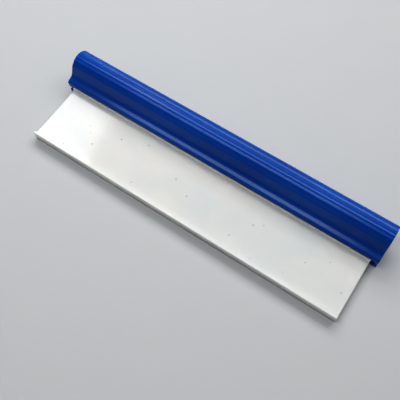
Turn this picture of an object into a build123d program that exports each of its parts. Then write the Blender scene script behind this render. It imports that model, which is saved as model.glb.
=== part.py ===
from build123d import *
import os
from math import acos, cos, degrees, radians, sin, sqrt

# A hand-held silicone water blade, lying on its lower jaw and on its wiping bar.
# Millimetres. +X runs along the length, -Y points to the wiping bar, +Z is up.
# Sections are drawn with y = 0 at the handle's mouth and z = 0 on the surface it lies on.

# lengths
handle_length = 317.5
blade_length = 305.0
plug_length = 12.0

# grip: a fluted round bar that sits behind and above the mouth
grip_y = 20.1
grip_z = 21.4
grip_r = 11.35
grip_wall = 2.1
flute_count = 12
flute_pitch = 18.0          # degrees round the grip
flute_depth = 0.42
last_crest = 122.5          # degrees, where the even flutes end on top
neck_crest = 147.0          # degrees, the far side of one wide flute next to them
crest_round = 0.35

# neck and jaw
neck_angle = 160.0          # degrees round the grip, where the straight neck leaves it
neck_run = 6.27
thumb_hollow_r = 6.0
lip_slope = 16.0            # degrees, fall of the lip's top towards the mouth
lip_flat = 1.8
lip_round = 3.0
lip_overhang = 0.6          # the lip's nose stands this far ahead of the mouth
lip_under_r = 0.8
jaw_depth = 9.0
jaw_corner = 1.5
heel_round = 3.0
finger_hollow_r = 5.0

# narrow end of the grip's hollow, in the neck
core_y = 8.0
core_z = 13.6
core_r = 1.8

# blade
web_mid_z = 5.25
web_thick = 2.3
bar_face_y = -58.1          # the face of the wiping bar, ahead of the mouth
bar_height = 10.5
bar_thick = 1.9
bar_fillet = 0.7
shoulder_height = 10.3
shoulder_land = 1.6
shoulder_fillet = 3.5
root_thick = 4.0
bead_height = 6.4
bead_front = 2.3
bead_depth = 4.1
bead_round = 1.5

# clearances
blade_gap = 0.25            # round the blade's root in its channel, and at the mouth
plug_gap = 0.05
plug_wall = 1.6
plug_face = 2.0
plug_inset = 0.4            # plugs sit just inside the handle's ends

# moves the mouth so that the origin is under the middle of the whole object
mouth_shift = -(bar_face_y + grip_y + grip_r) / 2


def on_grip(angle, radius=grip_r):
    """A point round the grip's axis, at an angle from +Y towards +Z."""
    return (grip_y + radius * cos(radians(angle)), grip_z + radius * sin(radians(angle)))


def grip_arc(start, end, sag=0.0):
    """A stretch of the grip's surface between two angles, hollowed by sag in its middle."""
    middle = on_grip((start + end) / 2, grip_r - sag)
    return ThreePointArc(on_grip(start), middle, on_grip(end))


def handle_outline():
    """The handle's section: lip, mouth, lower jaw, finger hollow, fluted grip."""
    # the finger hollow touches the riser behind the jaw and the underside of the grip
    hollow_back = grip_y - jaw_depth - finger_hollow_r
    hollow_drop = sqrt((grip_r + finger_hollow_r) ** 2 - hollow_back**2)
    share = grip_r / (grip_r + finger_hollow_r)
    hollow_end = (grip_y - share * hollow_back, grip_z - share * hollow_drop)
    crests = crest_angles()

    with BuildSketch() as outline:
        with BuildLine():
            neck = PolarLine(on_grip(neck_angle), neck_run, neck_angle + 90)
            thumb = JernArc(neck @ 1, neck % 1, thumb_hollow_r, 90 + lip_slope - neck_angle)
            flat = PolarLine(thumb @ 1, lip_flat, 180 + lip_slope)
            nose = JernArc(flat @ 1, flat % 1, lip_round, 90 - lip_slope)
            under = JernArc(nose @ 1, nose % 1, lip_under_r, degrees(acos(1 - lip_overhang / lip_under_r)))
            mouth = Line(under @ 1, ((under @ 1).X, jaw_corner))
            corner = JernArc(mouth @ 1, mouth % 1, jaw_corner, 90)
            sole = Line(corner @ 1, (jaw_depth - heel_round, 0))
            heel = JernArc(sole @ 1, sole % 1, heel_round, 90)
            riser = Line(heel @ 1, (jaw_depth, grip_z - hollow_drop))
            TangentArc(riser @ 1, hollow_end, tangent=riser % 1)
            ThreePointArc(hollow_end, on_grip(crests[0] - flute_pitch / 4), on_grip(crests[0]))
            for start, end in zip(crests, crests[1:]):
                grip_arc(start, end, flute_depth)
            grip_arc(neck_crest, neck_angle)
        make_face()
        fillet([v for v in outline.vertices() if is_crest(v)], crest_round)
    return outline.sketch


def crest_angles():
    """The crests between the flutes, from the underside of the grip round to the neck."""
    return [last_crest - step * flute_pitch for step in range(flute_count, -1, -1)] + [neck_crest]


def is_crest(vertex):
    """True where two flutes meet, or the last flute meets the plain surface."""
    for angle in crest_angles():
        crest = on_grip(angle)
        if abs(vertex.X - crest[0]) + abs(vertex.Y - crest[1]) < 0.01:
            return True
    return False


def grip_hollow(shrink=0.0):
    """The teardrop hollow of the grip, which narrows into the neck."""
    with BuildSketch() as hollow:
        with BuildLine():
            CenterArc((grip_y, grip_z), grip_r - grip_wall - shrink, 0, 360)
            CenterArc((core_y, core_z), core_r - shrink, 0, 360)
        make_hull()
    return hollow.sketch


def root_channel():
    """The blade's channel behind the mouth, with a slot narrower than the bead."""
    slot_depth = bead_front + 1
    with BuildSketch() as channel:
        with Locations((slot_depth / 2 - 0.5, web_mid_z)):
            Rectangle(slot_depth + 1, root_thick + 2 * blade_gap)
        with Locations((bead_front + bead_depth / 2, web_mid_z)):
            RectangleRounded(bead_depth + 2 * blade_gap, bead_height + 2 * blade_gap, bead_round + blade_gap)
    return channel.sketch


def blade_outline():
    """The blade's section: wiping bar, web, shoulder on the mouth, root and bead."""
    shoulder_back = -blade_gap
    bar_y = bar_face_y + bar_thick / 2
    with BuildSketch() as outline:
        with Locations(((bar_y + shoulder_back) / 2, web_mid_z)):
            Rectangle(shoulder_back - bar_y, web_thick)
        with Locations((bar_y, web_mid_z)):
            Rectangle(bar_thick, bar_height)
        with Locations((shoulder_back - shoulder_land / 2, web_mid_z)):
            Rectangle(shoulder_land, shoulder_height)
        inner = outline.vertices().filter_by(lambda v: abs(abs(v.Y - web_mid_z) - web_thick / 2) < 0.01)
        fillet(inner.filter_by(lambda v: v.X < bar_y + bar_thick), bar_fillet)
        inner = outline.vertices().filter_by(lambda v: abs(abs(v.Y - web_mid_z) - web_thick / 2) < 0.01)
        fillet(inner.filter_by(lambda v: abs(v.X - shoulder_back + shoulder_land) < 0.01), shoulder_fillet)
        with Locations(((shoulder_back + bead_front) / 2 + 0.5, web_mid_z)):
            Rectangle(bead_front - shoulder_back + 1, root_thick)
        with Locations((bead_front + bead_depth / 2, web_mid_z)):
            RectangleRounded(bead_depth, bead_height, bead_round)
    return outline.sketch


def bar_along_x(section, length, middle_x=0.0):
    """Runs a drawn section along X, centred on middle_x."""
    placed = Plane((middle_x - length / 2, mouth_shift, 0), x_dir=(0, 1, 0), z_dir=(1, 0, 0))
    return extrude(placed * section, amount=length)


def handle():
    """The extruded handle, open through its grip and its blade channel."""
    return bar_along_x(handle_outline() - grip_hollow() - root_channel(), handle_length)


def end_plug(side):
    """A cup pressed into one end of the grip, face outwards; side is -1 or 1."""
    outer_x = side * (handle_length / 2 - plug_inset)
    plug = bar_along_x(grip_hollow(plug_gap), plug_length, outer_x - side * plug_length / 2)
    hollow_length = plug_length - plug_face
    hollow_x = outer_x - side * (plug_face + hollow_length / 2)
    return plug - bar_along_x(grip_hollow(plug_gap + plug_wall), hollow_length, hollow_x)


def main():
    os.makedirs("parts", exist_ok=True)
    export_step(handle(), "parts/handle.step")
    export_step(bar_along_x(blade_outline(), blade_length), "parts/silicone_blade.step")
    export_step(end_plug(-1), "parts/left_end_plug.step")
    export_step(end_plug(1), "parts/right_end_plug.step")


main()
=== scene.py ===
"""A silicone water blade: its looks, floor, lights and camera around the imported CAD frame."""

from math import acos, atan2, cos, degrees, radians, sin, sqrt

import bmesh
import bpy
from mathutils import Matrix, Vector


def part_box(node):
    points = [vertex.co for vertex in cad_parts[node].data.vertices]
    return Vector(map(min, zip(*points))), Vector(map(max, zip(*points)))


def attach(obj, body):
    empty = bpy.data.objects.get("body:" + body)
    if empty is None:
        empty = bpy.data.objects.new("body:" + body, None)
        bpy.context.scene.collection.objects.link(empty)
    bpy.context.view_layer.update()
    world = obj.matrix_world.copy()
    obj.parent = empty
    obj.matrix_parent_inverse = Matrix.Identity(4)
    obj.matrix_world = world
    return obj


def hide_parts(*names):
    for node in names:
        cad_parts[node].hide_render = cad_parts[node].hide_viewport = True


bl_info = {
    "name": "Water Blade",
    "version": (1, 0, 0),
    "blender": (4, 5, 0),
    "location": "View3D > Sidebar > Water Blade",
    "description": "Builds a silicone water blade, its materials and a small studio",
    "category": "Add Mesh",
}

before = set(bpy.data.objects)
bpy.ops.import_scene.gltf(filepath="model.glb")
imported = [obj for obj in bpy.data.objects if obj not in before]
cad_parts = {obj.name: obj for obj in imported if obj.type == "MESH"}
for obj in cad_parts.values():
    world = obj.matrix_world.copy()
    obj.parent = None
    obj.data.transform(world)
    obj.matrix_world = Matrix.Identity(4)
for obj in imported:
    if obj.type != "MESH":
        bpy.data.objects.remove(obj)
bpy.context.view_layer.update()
MM = 0.001

# sections are drawn in millimetres: y from the handle's mouth, z from the surface it lies on
LIP_OVERHANG = 0.6          # the lip's nose stands this far ahead of the mouth
MOUTH_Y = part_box("handle")[0][1] + LIP_OVERHANG * MM
ARC_STEP = 5.0              # degrees between the points of a round stretch
ARC_CHORD = 0.22            # the shortest side that a small round stretch gets
CRISP_ANGLE = radians(35)   # edges that turn more than this are shown crisp
FLAT_END = 0.99             # a face that looks along X this nearly is an end face, and is shaded flat
END_FACE = 0.9              # before the rims are rounded, this is enough to tell an end face

GRIP = (20.1, 21.4)
GRIP_RADIUS = 11.35
GRIP_WALL = 2.1
CORE = (8.0, 13.6)
CORE_RADIUS = 1.8
FLUTES = 12
FLUTE_PITCH = 18.0          # degrees
LAST_CREST = 122.5
NECK_CREST = 147.0          # the far side of the one wide flute
FLUTE_STEPS = 12            # sides of a flute's hollow
CREST_SOFTNESS = 0.05       # share of the pitch
NECK_ANGLE = 160.0
NECK_RUN = 6.27
THUMB_RADIUS = 6.0
LIP_SLOPE = 16.0
LIP_FLAT = 1.8
LIP_ROUND = 3.0
LIP_UNDER = 0.8
JAW_DEPTH = 9.0
JAW_CORNER = 1.5
HEEL_ROUND = 3.0
FINGER_RADIUS = 5.0
SLOT_EDGE = 0.4

WEB_MID = 5.25
WEB_THICK = 2.3
WEB_MIDDLE = 31.0           # from the mouth to the middle of the stretch of web that holds specks
WEB_REACH = 48.0            # that stretch, from the bar side to the shoulder side
BAR_THICK = 1.9
BAR_FILLET = 0.7
BAR_EDGE = 0.15
SHOULDER_HEIGHT = 10.3
SHOULDER_LAND = 1.6
SHOULDER_FILLET = 3.5
SHOULDER_EDGE = 0.2
ROOT_THICK = 4.0
ROOT_CORNER = 1.0
BEAD_HEIGHT = 6.4
BEAD_FRONT = 2.3
BEAD_DEPTH = 4.1
BEAD_ROUND = 1.5
ROOT_GAP = 0.25

PLUG_GAP = 0.05

SPECK_CELL = 10.0           # one speck at most in a square of this side

# the stage, in metres
FLOOR_HALF = 3.0
CAMERA_AIM = (0.0072, -0.01708, 0.0064)
SENSOR_WIDTH = 36.0         # millimetres


# ---------------------------------------------------------------- outlines


def point_at(centre, radius, angle):
    """A point round a centre, at an angle in degrees from +Y towards +Z."""
    return (centre[0] + radius * cos(radians(angle)), centre[1] + radius * sin(radians(angle)))


def arc(centre, radius, start, end):
    """Points along a round stretch, both ends included."""
    sweep = abs(end - start)
    steps = max(2, round(min(sweep / ARC_STEP, radians(sweep) * radius / ARC_CHORD)))
    return [point_at(centre, radius, start + (end - start) * i / steps) for i in range(steps + 1)]


def walk(start, heading, moves):
    """Points of an outline.

    The moves are ("line", length), ("turn", angle) and ("arc", radius, angle); a positive angle turns left.
    """
    points = [start]
    for kind, *values in moves:
        if kind == "line":
            points.append(point_at(points[-1], values[0], heading))
        elif kind == "turn":
            heading += values[0]
        else:
            radius, angle = values
            side = 90 if angle > 0 else -90
            centre = point_at(points[-1], radius, heading + side)
            points += arc(centre, radius, heading - side, heading - side + angle)[1:]
            heading += angle
    return points


def flute_arc(start, end, depth):
    """Points of one hollow between two crests, in angles round the grip, with slightly softened crests."""
    points = []
    for i in range(FLUTE_STEPS):
        share = i / FLUTE_STEPS
        from_crest = min(sqrt(min(share, 1 - share) ** 2 + CREST_SOFTNESS**2), 0.5)
        radius = GRIP_RADIUS - depth * (1 - (1 - 2 * from_crest) ** 2)
        points.append(point_at(GRIP, radius, start + (end - start) * share))
    return points


def handle_outline(flute_depth):
    """The handle's outer outline, anticlockwise: neck, lip, mouth and channel, jaw, finger hollow, grip."""
    back = GRIP[0] - JAW_DEPTH - FINGER_RADIUS
    drop = sqrt((GRIP_RADIUS + FINGER_RADIUS) ** 2 - back**2)
    touch = degrees(atan2(-drop, -back))
    slot = ROOT_THICK / 2 + ROOT_GAP
    step = (BEAD_HEIGHT - ROOT_THICK) / 2
    front = BEAD_FRONT - ROOT_GAP
    bead_round = BEAD_ROUND + ROOT_GAP
    roof = BEAD_DEPTH + 2 * ROOT_GAP - ROOT_CORNER - bead_round

    lip = walk(
        point_at(GRIP, GRIP_RADIUS, NECK_ANGLE),
        NECK_ANGLE + 90,
        [
            ("line", NECK_RUN),
            ("arc", THUMB_RADIUS, 90 + LIP_SLOPE - NECK_ANGLE),
            ("line", LIP_FLAT),
            ("arc", LIP_ROUND, 90 - LIP_SLOPE),
            ("arc", LIP_UNDER, degrees(acos(1 - LIP_OVERHANG / LIP_UNDER))),
        ],
    )
    into_bead = [
        ("turn", 90),
        ("line", step - ROOT_CORNER),
        ("arc", ROOT_CORNER, -90),
        ("line", roof),
        ("arc", bead_round, -90),
    ]
    out_of_bead = [
        ("arc", bead_round, -90),
        ("line", roof),
        ("arc", ROOT_CORNER, -90),
        ("line", step - ROOT_CORNER),
        ("turn", 90),
    ]
    jaw = walk(
        lip[-1],
        270,
        [
            ("line", lip[-1][1] - WEB_MID - slot - SLOT_EDGE),
            ("arc", SLOT_EDGE, 90),
            ("line", front - SLOT_EDGE),
        ]
        + into_bead
        + [("line", BEAD_HEIGHT + 2 * ROOT_GAP - 2 * bead_round)]
        + out_of_bead
        + [
            ("line", front - SLOT_EDGE),
            ("arc", SLOT_EDGE, 90),
            ("line", WEB_MID - slot - SLOT_EDGE - JAW_CORNER),
            ("arc", JAW_CORNER, 90),
            ("line", JAW_DEPTH - HEEL_ROUND - JAW_CORNER),
            ("arc", HEEL_ROUND, 90),
            ("line", GRIP[1] - drop - HEEL_ROUND),
            ("arc", FINGER_RADIUS, touch),
        ],
    )
    crests = [LAST_CREST - FLUTE_PITCH * i for i in range(FLUTES, -1, -1)] + [NECK_CREST]
    fluted = []
    for start, end in zip(crests, crests[1:]):
        fluted += flute_arc(start, end, flute_depth)
    underside = arc(GRIP, GRIP_RADIUS, touch, crests[0])[1:-1]
    neck_side = arc(GRIP, GRIP_RADIUS, NECK_CREST, NECK_ANGLE)[:-1]
    return lip + jaw[1:] + underside + fluted + neck_side


def hollow_outline(shrink=0.0):
    """The teardrop hollow of the grip, anticlockwise, made smaller all round by shrink."""
    big = GRIP_RADIUS - GRIP_WALL - shrink
    small = CORE_RADIUS - shrink
    across, up = GRIP[0] - CORE[0], GRIP[1] - CORE[1]
    axis = degrees(atan2(up, across))
    flare = degrees(atan2(sqrt(across**2 + up**2 - (big - small) ** 2), big - small))
    round_grip = arc(GRIP, big, axis - 180 + flare, axis + 180 - flare)
    round_core = arc(CORE, small, axis + 180 - flare, axis + 180 + flare)
    return round_grip + round_core


def blade_outline(bar_face):
    """The blade's outline, anticlockwise: wiping bar, web, shoulder, root and bead.

    It is alike above and below the web's middle.
    """
    half_web = WEB_THICK / 2
    to_shoulder = -ROOT_GAP - SHOULDER_LAND - SHOULDER_FILLET - bar_face - BAR_THICK - BAR_FILLET
    rise = SHOULDER_HEIGHT / 2
    lower_half = walk(
        (bar_face, WEB_MID),
        270,
        [
            ("line", WEB_MID - BAR_EDGE),
            ("arc", BAR_EDGE, 90),
            ("line", BAR_THICK - 2 * BAR_EDGE),
            ("arc", BAR_EDGE, 90),
            ("line", WEB_MID - half_web - BAR_EDGE - BAR_FILLET),
            ("arc", BAR_FILLET, -90),
            ("line", to_shoulder),
            ("arc", SHOULDER_FILLET, -90),
            ("line", rise - half_web - SHOULDER_FILLET - SHOULDER_EDGE),
            ("arc", SHOULDER_EDGE, 90),
            ("line", SHOULDER_LAND - 2 * SHOULDER_EDGE),
            ("arc", SHOULDER_EDGE, 90),
            ("line", rise - ROOT_THICK / 2 - SHOULDER_EDGE),
            ("turn", -90),
            ("line", ROOT_GAP + BEAD_FRONT),
            ("turn", -90),
            ("line", (BEAD_HEIGHT - ROOT_THICK) / 2 - ROOT_CORNER),
            ("arc", ROOT_CORNER, 90),
            ("line", BEAD_DEPTH - ROOT_CORNER - BEAD_ROUND),
            ("arc", BEAD_ROUND, 90),
            ("line", BEAD_HEIGHT / 2 - BEAD_ROUND),
        ],
    )
    upper_half = [(y, 2 * WEB_MID - z) for y, z in reversed(lower_half[1:-1])]
    return lower_half + upper_half


# ---------------------------------------------------------------- meshes


def add_loop(mesh, outline, x):
    """Puts an outline in a mesh as a ring of edges across the length, at x metres."""
    ring = [mesh.verts.new((x, MOUTH_Y + y * MM, z * MM)) for y, z in outline]
    for i, vert in enumerate(ring):
        mesh.edges.new((ring[i - 1], vert))
    return ring


def extrude_bar(mesh, outlines, low_x, high_x):
    """Closes the outlines into an end face and runs them along X as one closed bar."""
    for outline in outlines:
        add_loop(mesh, outline, low_x)
    cap = bmesh.ops.triangle_fill(mesh, use_beauty=True, edges=mesh.edges[:])
    faces = [g for g in cap["geom"] if isinstance(g, bmesh.types.BMFace)]
    grown = bmesh.ops.extrude_face_region(mesh, geom=faces, use_keep_orig=True)
    moved = [g for g in grown["geom"] if isinstance(g, bmesh.types.BMVert)]
    bmesh.ops.translate(mesh, verts=moved, vec=(high_x - low_x, 0, 0))


def end_rims(mesh):
    """The edges where an end face meets the long sides."""
    rims = []
    for edge in mesh.edges:
        if len(edge.link_faces) == 2:
            flat = [abs(face.normal.x) > END_FACE for face in edge.link_faces]
            if flat[0] != flat[1]:
                rims.append(edge)
    return rims


def round_rims(mesh, width):
    """Rounds the rims of the end faces."""
    mesh.normal_update()
    bmesh.ops.bevel(
        mesh, geom=end_rims(mesh), affect="EDGES", offset=width, segments=2, profile=0.5, material=-1
    )


def finish_piece(mesh, name, body, node, material):
    """Turns a mesh into a named piece that rides on a body and stands for a CAD node."""
    bmesh.ops.recalc_face_normals(mesh, faces=mesh.faces[:])
    mesh.normal_update()
    for face in mesh.faces:
        face.smooth = abs(face.normal.x) < FLAT_END
    for edge in mesh.edges:
        edge.smooth = edge.is_manifold and edge.calc_face_angle() < CRISP_ANGLE
    data = bpy.data.meshes.new(name)
    mesh.to_mesh(data)
    mesh.free()
    data.materials.append(material)
    piece = bpy.data.objects.new(name, data)
    bpy.context.scene.collection.objects.link(piece)
    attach(piece, body)
    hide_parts(node)
    return piece


# ---------------------------------------------------------------- materials


def linear(hex_colour):
    """An sRGB hex colour as linear red, green, blue and full alpha."""
    parts = [int(hex_colour[i : i + 2], 16) / 255 for i in (1, 3, 5)]
    return tuple(p / 12.92 if p <= 0.04045 else ((p + 0.055) / 1.055) ** 2.4 for p in parts) + (1.0,)


def add_node(tree, kind, settings, links):
    """Adds a node: settings go to its properties or sockets, and links bring other nodes to its sockets."""
    node = tree.nodes.new(kind)

    def socket(name):
        if isinstance(name, int):
            return node.inputs[name]
        return next(s for s in node.inputs if s.enabled and s.name == name)

    for name, value in settings.items():
        if isinstance(name, str) and hasattr(node, name):
            setattr(node, name, value)
        else:
            socket(name).default_value = value
    for name, source in links.items():
        if isinstance(source, bpy.types.Node):
            source = next(s for s in source.outputs if s.enabled)
        tree.links.new(source, socket(name))
    return node


def new_material(name):
    """An empty node material, and the object's own coordinates in it."""
    material = bpy.data.materials.new(name)
    material.use_nodes = True
    material.node_tree.nodes.clear()
    coords = add_node(material.node_tree, "ShaderNodeTexCoord", {}, {})
    return material, material.node_tree, coords.outputs["Object"]


def grain(along_mm, across_mm):
    """The Mapping scale of a pattern whose marks are along_mm long in X and across_mm wide."""
    return (1 / (along_mm * MM), 1 / (across_mm * MM), 1 / (across_mm * MM))


def extruded_blue(settings):
    """Blue ABS drawn through a die.

    Deep satin blue, faint lines along it, soft sheen changes, pale rubbed spots.
    """
    material, tree, coords = new_material("Blue ABS, extruded")
    wide = add_node(tree, "ShaderNodeMapping", {"Scale": grain(70, 30)}, {"Vector": coords})
    clouds = add_node(tree, "ShaderNodeTexNoise", {"Scale": 1.0, "Detail": 2.0}, {"Vector": wide})
    long_fine = add_node(tree, "ShaderNodeMapping", {"Scale": grain(90, 0.5)}, {"Vector": coords})
    die_lines = add_node(tree, "ShaderNodeTexNoise", {"Scale": 1.0, "Detail": 3.0}, {"Vector": long_fine})
    peel = add_node(
        tree, "ShaderNodeTexNoise", {"Scale": 1 / (0.6 * MM), "Detail": 1.0}, {"Vector": coords}
    )
    short = add_node(tree, "ShaderNodeMapping", {"Scale": grain(7, 0.5)}, {"Vector": coords})
    scuffs = add_node(tree, "ShaderNodeTexNoise", {"Scale": 1.0, "Detail": 2.0}, {"Vector": short})

    # colour: two close tints in slow clouds, and pale rubbed spots
    tint = add_node(tree, "ShaderNodeMapRange", {"From Min": 0.35, "From Max": 0.65}, {"Value": clouds})
    body = add_node(
        tree,
        "ShaderNodeMix",
        {"data_type": "RGBA", "A": tuple(settings.colour), "B": tuple(settings.deep)},
        {"Factor": tint},
    )
    rubbed = add_node(
        tree, "ShaderNodeMapRange", {"From Min": 0.68, "From Max": 0.76, "To Max": 0.3}, {"Value": scuffs}
    )
    shade = add_node(
        tree,
        "ShaderNodeMix",
        {"data_type": "RGBA", "B": tuple(settings.worn)},
        {"Factor": rubbed, "A": body},
    )

    # sheen: satin, duller in clouds and along the die lines
    satin = add_node(
        tree,
        "ShaderNodeMapRange",
        {
            "From Min": 0.3,
            "From Max": 0.7,
            "To Min": settings.roughness - 0.03,
            "To Max": settings.roughness + 0.05,
        },
        {"Value": clouds},
    )
    streaks = add_node(
        tree,
        "ShaderNodeMapRange",
        {"From Min": 0.35, "From Max": 0.65, "To Min": -0.03, "To Max": 0.03},
        {"Value": die_lines},
    )
    dull = add_node(tree, "ShaderNodeMath", {"operation": "ADD"}, {0: satin, 1: streaks})

    # surface: shallow die lines over a very fine orange peel
    relief = add_node(tree, "ShaderNodeMix", {"Factor": 0.4}, {"A": die_lines, "B": peel})
    bump = add_node(tree, "ShaderNodeBump", {"Strength": 0.12, "Distance": 0.06 * MM}, {"Height": relief})
    shader = add_node(
        tree,
        "ShaderNodeBsdfPrincipled",
        {"IOR": 1.54, "Specular IOR Level": 0.36},
        {"Base Color": shade, "Roughness": dull, "Normal": bump},
    )
    add_node(tree, "ShaderNodeOutputMaterial", {}, {"Surface": shader})
    return material


def moulded_blue(settings):
    """Blue polypropylene, moulded: the handle's darker tint with a waxy, evenly spark-eroded matt skin."""
    material, tree, coords = new_material("Blue polypropylene, moulded")
    sparks = add_node(
        tree, "ShaderNodeTexNoise", {"Scale": 1 / (0.35 * MM), "Detail": 2.0}, {"Vector": coords}
    )
    flow = add_node(tree, "ShaderNodeTexNoise", {"Scale": 1 / (9 * MM), "Detail": 2.0}, {"Vector": coords})
    shade = add_node(
        tree,
        "ShaderNodeMix",
        {"data_type": "RGBA", "A": tuple(settings.deep), "B": tuple(settings.colour)},
        {"Factor": flow},
    )
    dull = add_node(tree, "ShaderNodeMapRange", {"To Min": 0.45, "To Max": 0.6}, {"Value": sparks})
    bump = add_node(tree, "ShaderNodeBump", {"Strength": 0.25, "Distance": 0.05 * MM}, {"Height": sparks})
    shader = add_node(
        tree,
        "ShaderNodeBsdfPrincipled",
        {"IOR": 1.49},
        {"Base Color": shade, "Roughness": dull, "Normal": bump},
    )
    add_node(tree, "ShaderNodeOutputMaterial", {}, {"Surface": shader})
    return material


def moulded_silicone(settings):
    """Milky silicone rubber.

    Light soaks in and glows at the thin edges; satin skin, slow waves, trapped specks.
    """
    material, tree, coords = new_material("Silicone rubber, moulded")
    wide = add_node(tree, "ShaderNodeMapping", {"Scale": grain(60, 35)}, {"Vector": coords})
    clouds = add_node(tree, "ShaderNodeTexNoise", {"Scale": 1.0, "Detail": 2.0}, {"Vector": wide})
    long_fine = add_node(tree, "ShaderNodeMapping", {"Scale": grain(120, 0.9)}, {"Vector": coords})
    die_lines = add_node(tree, "ShaderNodeTexNoise", {"Scale": 1.0, "Detail": 2.0}, {"Vector": long_fine})
    skin = add_node(
        tree, "ShaderNodeTexNoise", {"Scale": 1 / (1.1 * MM), "Detail": 2.0}, {"Vector": coords}
    )

    # trapped specks go through the web's thickness, at most one in a cell, between bar and shoulder
    per_cell = 1 / (SPECK_CELL * MM)
    flat = add_node(tree, "ShaderNodeMapping", {"Scale": (per_cell, per_cell, 0.0)}, {"Vector": coords})
    cells = add_node(tree, "ShaderNodeTexVoronoi", {"Scale": 1.0}, {"Vector": flat})
    chance = add_node(tree, "ShaderNodeSeparateColor", {}, {"Color": cells.outputs["Color"]})
    place = add_node(tree, "ShaderNodeSeparateXYZ", {}, {"Vector": coords})
    on_web = add_node(
        tree,
        "ShaderNodeMath",
        {"operation": "COMPARE", 1: MOUTH_Y - WEB_MIDDLE * MM, 2: WEB_REACH / 2 * MM},
        {0: place.outputs["Y"]},
    )
    lucky = add_node(
        tree, "ShaderNodeMath", {"operation": "GREATER_THAN", 1: 0.35}, {0: chance.outputs["Red"]}
    )
    held = add_node(tree, "ShaderNodeMath", {"operation": "MULTIPLY"}, {0: lucky, 1: on_web})
    size = add_node(
        tree, "ShaderNodeMapRange", {"To Min": 0.06, "To Max": 0.12}, {"Value": chance.outputs["Green"]}
    )
    reach = add_node(
        tree, "ShaderNodeMath", {"operation": "DIVIDE"}, {0: cells.outputs["Distance"], 1: size}
    )
    dot = add_node(
        tree,
        "ShaderNodeMapRange",
        {"From Min": 0.4, "From Max": 1.3, "To Min": 0.4, "To Max": 0.0},
        {"Value": reach},
    )
    dots = add_node(tree, "ShaderNodeMath", {"operation": "MULTIPLY"}, {0: dot, 1: held})

    # colour: milky, in slow clouds of a cooler tint, with grey specks
    tint = add_node(tree, "ShaderNodeMapRange", {"From Min": 0.35, "From Max": 0.65}, {"Value": clouds})
    milk = add_node(
        tree,
        "ShaderNodeMix",
        {"data_type": "RGBA", "A": tuple(settings.colour), "B": tuple(settings.cool)},
        {"Factor": tint},
    )
    shade = add_node(
        tree,
        "ShaderNodeMix",
        {"data_type": "RGBA", "B": tuple(settings.speck)},
        {"Factor": dots, "A": milk},
    )
    dull = add_node(
        tree,
        "ShaderNodeMapRange",
        {"From Min": 0.3, "From Max": 0.7, "To Min": 0.07, "To Max": 0.13},
        {"Value": clouds},
    )

    # surface: slow waves of the soft sheet, then fine drawing lines and skin
    waves = add_node(tree, "ShaderNodeBump", {"Strength": 1.0, "Distance": 0.25 * MM}, {"Height": clouds})
    relief = add_node(tree, "ShaderNodeMix", {"Factor": 0.5}, {"A": die_lines, "B": skin})
    bump = add_node(
        tree,
        "ShaderNodeBump",
        {"Strength": 0.08, "Distance": 0.06 * MM},
        {"Height": relief, "Normal": waves},
    )
    shader = add_node(
        tree,
        "ShaderNodeBsdfPrincipled",
        {
            "IOR": 1.41,
            "Subsurface Weight": 0.75,
            "Subsurface Radius": (1.0, 0.97, 0.92),
            "Subsurface Scale": settings.light_depth,
        },
        {"Base Color": shade, "Roughness": dull, "Normal": bump},
    )
    add_node(tree, "ShaderNodeOutputMaterial", {}, {"Surface": shader})
    return material


def floor_paint(settings):
    """Pale matt paint, rolled on: an even grey with a very faint mottle in its sheen."""
    material, tree, coords = new_material("Floor paint, matt")
    mottle = add_node(
        tree, "ShaderNodeTexNoise", {"Scale": 1 / (40 * MM), "Detail": 2.0}, {"Vector": coords}
    )
    dull = add_node(tree, "ShaderNodeMapRange", {"To Min": 0.6, "To Max": 0.75}, {"Value": mottle})
    shader = add_node(
        tree, "ShaderNodeBsdfPrincipled", {"Base Color": tuple(settings.floor)}, {"Roughness": dull}
    )
    add_node(tree, "ShaderNodeOutputMaterial", {}, {"Surface": shader})
    return material


# ---------------------------------------------------------------- settings


class WATERBLADE_PG_handle(bpy.types.PropertyGroup):
    """Sizes and colours of the handle and its end plugs."""

    colour: bpy.props.FloatVectorProperty(
        name="Plastic",
        description="Colour of the handle",
        size=4,
        subtype="COLOR",
        default=linear("#245FB0"),
    )
    deep: bpy.props.FloatVectorProperty(
        name="Deep tint",
        description="Darker tint in the plastic",
        size=4,
        subtype="COLOR",
        default=linear("#1D55A4"),
    )
    worn: bpy.props.FloatVectorProperty(
        name="Rubbed",
        description="Colour of rubbed spots",
        size=4,
        subtype="COLOR",
        default=linear("#5A78C8"),
    )
    flute_depth: bpy.props.FloatProperty(
        name="Flute depth",
        description="Depth of the grip's flutes, in millimetres",
        default=0.42,
        min=0.1,
        max=0.8,
    )
    roughness: bpy.props.FloatProperty(
        name="Roughness",
        description="How dull the handle's sheen is",
        default=0.22,
        min=0.0,
        max=1.0,
    )
    rim_round: bpy.props.FloatProperty(
        name="Rim",
        description="Rounding of the cut ends",
        default=0.0002,
        unit="LENGTH",
        min=0.0,
    )


class WATERBLADE_PG_blade(bpy.types.PropertyGroup):
    """Colours of the silicone blade."""

    colour: bpy.props.FloatVectorProperty(
        name="Silicone",
        description="Colour of the blade",
        size=4,
        subtype="COLOR",
        default=linear("#E2E2DF"),
    )
    cool: bpy.props.FloatVectorProperty(
        name="Cool tint",
        description="Cooler tint in the blade",
        size=4,
        subtype="COLOR",
        default=linear("#D9DDDD"),
    )
    speck: bpy.props.FloatVectorProperty(
        name="Specks",
        description="Colour of trapped specks",
        size=4,
        subtype="COLOR",
        default=linear("#5E6468"),
    )
    light_depth: bpy.props.FloatProperty(
        name="Light depth",
        description="How far light spreads inside the silicone",
        default=0.007,
        unit="LENGTH",
    )


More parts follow.
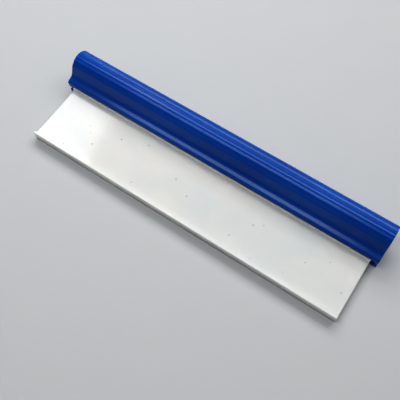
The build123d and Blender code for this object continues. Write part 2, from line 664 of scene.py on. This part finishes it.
class WATERBLADE_PG_stage(bpy.types.PropertyGroup):
    """The floor's colour and the camera's place."""

    floor: bpy.props.FloatVectorProperty(
        name="Floor",
        description="Colour of the floor",
        size=4,
        subtype="COLOR",
        default=linear("#BFC2C5"),
    )
    azimuth: bpy.props.FloatProperty(
        name="Azimuth",
        description="Camera's turn round the object",
        subtype="ANGLE",
        default=radians(35.03),
    )
    elevation: bpy.props.FloatProperty(
        name="Elevation",
        description="Camera's height above the floor",
        subtype="ANGLE",
        default=radians(65.08),
    )
    roll: bpy.props.FloatProperty(
        name="Roll",
        description="Camera's tilt about its view",
        subtype="ANGLE",
        default=radians(-1.52),
    )
    distance: bpy.props.FloatProperty(
        name="Distance",
        description="From the camera to its aim",
        unit="LENGTH",
        default=0.5218,
    )
    lens: bpy.props.FloatProperty(
        name="Lens",
        description="Focal length in millimetres",
        default=55.25,
    )


# ---------------------------------------------------------------- pieces


class WATERBLADE_OT_handle(bpy.types.Operator):
    """Build the extruded handle, with its channel, fluted grip and hollow"""

    bl_idname = "waterblade.handle"
    bl_label = "Handle"

    def execute(self, context):
        settings = context.scene.waterblade_handle
        low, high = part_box("handle")
        mesh = bmesh.new()
        extrude_bar(mesh, [handle_outline(settings.flute_depth), hollow_outline()], low[0], high[0])
        round_rims(mesh, settings.rim_round)
        finish_piece(mesh, "handle_shell", "handle", "handle", extruded_blue(settings))
        return {"FINISHED"}


class WATERBLADE_OT_blade(bpy.types.Operator):
    """Build the silicone blade, with its wiping bar, web, shoulder and bead"""

    bl_idname = "waterblade.blade"
    bl_label = "Silicone blade"

    def execute(self, context):
        settings = context.scene.waterblade_blade
        low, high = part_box("silicone_blade")
        mesh = bmesh.new()
        extrude_bar(mesh, [blade_outline((low[1] - MOUTH_Y) / MM)], low[0], high[0])
        finish_piece(
            mesh, "silicone_wiper", "blade", "silicone_blade", moulded_silicone(settings)
        )
        return {"FINISHED"}


class WATERBLADE_OT_plugs(bpy.types.Operator):
    """Build the plugs that close the grip's two ends"""

    bl_idname = "waterblade.plugs"
    bl_label = "End plugs"

    def execute(self, context):
        settings = context.scene.waterblade_handle
        plastic = moulded_blue(settings)
        for node in ("left_end_plug", "right_end_plug"):
            low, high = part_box(node)
            mesh = bmesh.new()
            extrude_bar(mesh, [hollow_outline(PLUG_GAP)], low[0], high[0])
            round_rims(mesh, settings.rim_round)
            finish_piece(mesh, node + "_body", "handle", node, plastic)
        return {"FINISHED"}


class WATERBLADE_OT_stage(bpy.types.Operator):
    """Lay the floor, hang the lights and place the camera"""

    bl_idname = "waterblade.stage"
    bl_label = "Stage"

    def execute(self, context):
        settings = context.scene.waterblade_stage
        context.scene.view_settings.view_transform = "Standard"
        context.scene.view_settings.look = "Very High Contrast"
        lay_floor(settings)
        hang_lights()
        place_camera(settings)
        return {"FINISHED"}


def lay_floor(settings):
    """A plain floor that the blade lies on."""
    mesh = bmesh.new()
    bmesh.ops.create_grid(mesh, x_segments=1, y_segments=1, size=FLOOR_HALF)
    data = bpy.data.meshes.new("floor")
    mesh.to_mesh(data)
    mesh.free()
    data.materials.append(floor_paint(settings))
    floor = bpy.data.objects.new("floor", data)
    bpy.context.scene.collection.objects.link(floor)


def hang_light(name, place, aim, size, watts, colour):
    """One square soft light, aimed at a point."""
    data = bpy.data.lights.new(name, "AREA")
    data.shape = "RECTANGLE"
    data.size, data.size_y = size
    data.energy = watts
    data.color = linear(colour)[:3]
    light = bpy.data.objects.new(name, data)
    light.location = place
    light.rotation_euler = (Vector(aim) - Vector(place)).to_track_quat("-Z", "Y").to_euler()
    light.visible_camera = False
    bpy.context.scene.collection.objects.link(light)


def hang_lights():
    """A sky card behind the handle, a strip overhead, a card that glares on the blade's left end, a dome.

    Each card aims at a place with its own x, so it tips about X only and is not turned about the vertical.
    """
    hang_light("sky", (-0.30, 0.85, 1.00), (-0.30, 0.0, 0.0), (2.2, 0.60), 10.2, "#FFFDFA")
    hang_light("overhead", (-0.25, -0.22, 1.05), (-0.25, 0.0, 0.0), (1.5, 0.34), 4.3, "#FFFDFA")
    hang_light("glare_card", (-0.645, 0.31, 0.86), (-0.645, 0.0, 0.0), (0.25, 0.24), 0.7, "#FFFFFF")
    world = bpy.data.worlds.new("dome, bright overhead and dim at the sides")
    world.use_nodes = True
    tree = world.node_tree
    tree.nodes.clear()
    coords = add_node(tree, "ShaderNodeTexCoord", {}, {})
    way = add_node(tree, "ShaderNodeSeparateXYZ", {}, {"Vector": coords.outputs["Generated"]})
    height = add_node(
        tree,
        "ShaderNodeMapRange",
        {"From Min": 0.3, "From Max": 1.0, "To Min": 0.06, "To Max": 0.15},
        {"Value": way.outputs["Z"]},
    )
    dome = add_node(tree, "ShaderNodeBackground", {"Color": linear("#F2F3F6")}, {"Strength": height})
    add_node(tree, "ShaderNodeOutputWorld", {}, {"Surface": dome})
    bpy.context.scene.world = world


def place_camera(settings):
    """A camera at the usual three-quarter view from above the wiping bar."""
    aim = Vector(CAMERA_AIM)
    back = Vector(
        (
            sin(settings.azimuth) * cos(settings.elevation),
            -cos(settings.azimuth) * cos(settings.elevation),
            sin(settings.elevation),
        )
    )
    data = bpy.data.cameras.new("camera")
    data.lens = settings.lens
    data.sensor_width = SENSOR_WIDTH
    camera = bpy.data.objects.new("camera", data)
    camera.location = aim + back * settings.distance
    turn = (-back).to_track_quat("-Z", "Y").to_matrix()
    camera.rotation_euler = turn.to_euler()
    camera.rotation_euler.rotate_axis("Z", settings.roll)
    bpy.context.scene.collection.objects.link(camera)
    bpy.context.scene.camera = camera


# ---------------------------------------------------------------- panel


class WATERBLADE_PT_panel(bpy.types.Panel):
    """Lists the water blade's pieces and its stage"""

    bl_label = "Water Blade"
    bl_idname = "WATERBLADE_PT_panel"
    bl_space_type = "VIEW_3D"
    bl_region_type = "UI"
    bl_category = "Water Blade"

    def draw(self, context):
        scene = context.scene
        for group in (scene.waterblade_handle, scene.waterblade_blade, scene.waterblade_stage):
            box = self.layout.box()
            for name in group.bl_rna.properties.keys():
                if name not in ("rna_type", "name"):
                    box.prop(group, name)
        for operator in OPERATORS:
            self.layout.operator(operator.bl_idname)


GROUPS = {
    "waterblade_handle": WATERBLADE_PG_handle,
    "waterblade_blade": WATERBLADE_PG_blade,
    "waterblade_stage": WATERBLADE_PG_stage,
}
OPERATORS = (WATERBLADE_OT_handle, WATERBLADE_OT_blade, WATERBLADE_OT_plugs, WATERBLADE_OT_stage)


def register():
    """Registers the settings, the operators and the panel."""
    for name, group in GROUPS.items():
        bpy.utils.register_class(group)
        setattr(bpy.types.Scene, name, bpy.props.PointerProperty(type=group))
    for operator in (*OPERATORS, WATERBLADE_PT_panel):
        bpy.utils.register_class(operator)


def unregister():
    """Removes what register added."""
    for operator in reversed((*OPERATORS, WATERBLADE_PT_panel)):
        bpy.utils.unregister_class(operator)
    for name, group in GROUPS.items():
        delattr(bpy.types.Scene, name)
        bpy.utils.unregister_class(group)


def main():
    """Builds every piece and the stage."""
    register()
    bpy.ops.waterblade.handle()
    bpy.ops.waterblade.blade()
    bpy.ops.waterblade.plugs()
    bpy.ops.waterblade.stage()


if __name__ == "__main__":
    main()
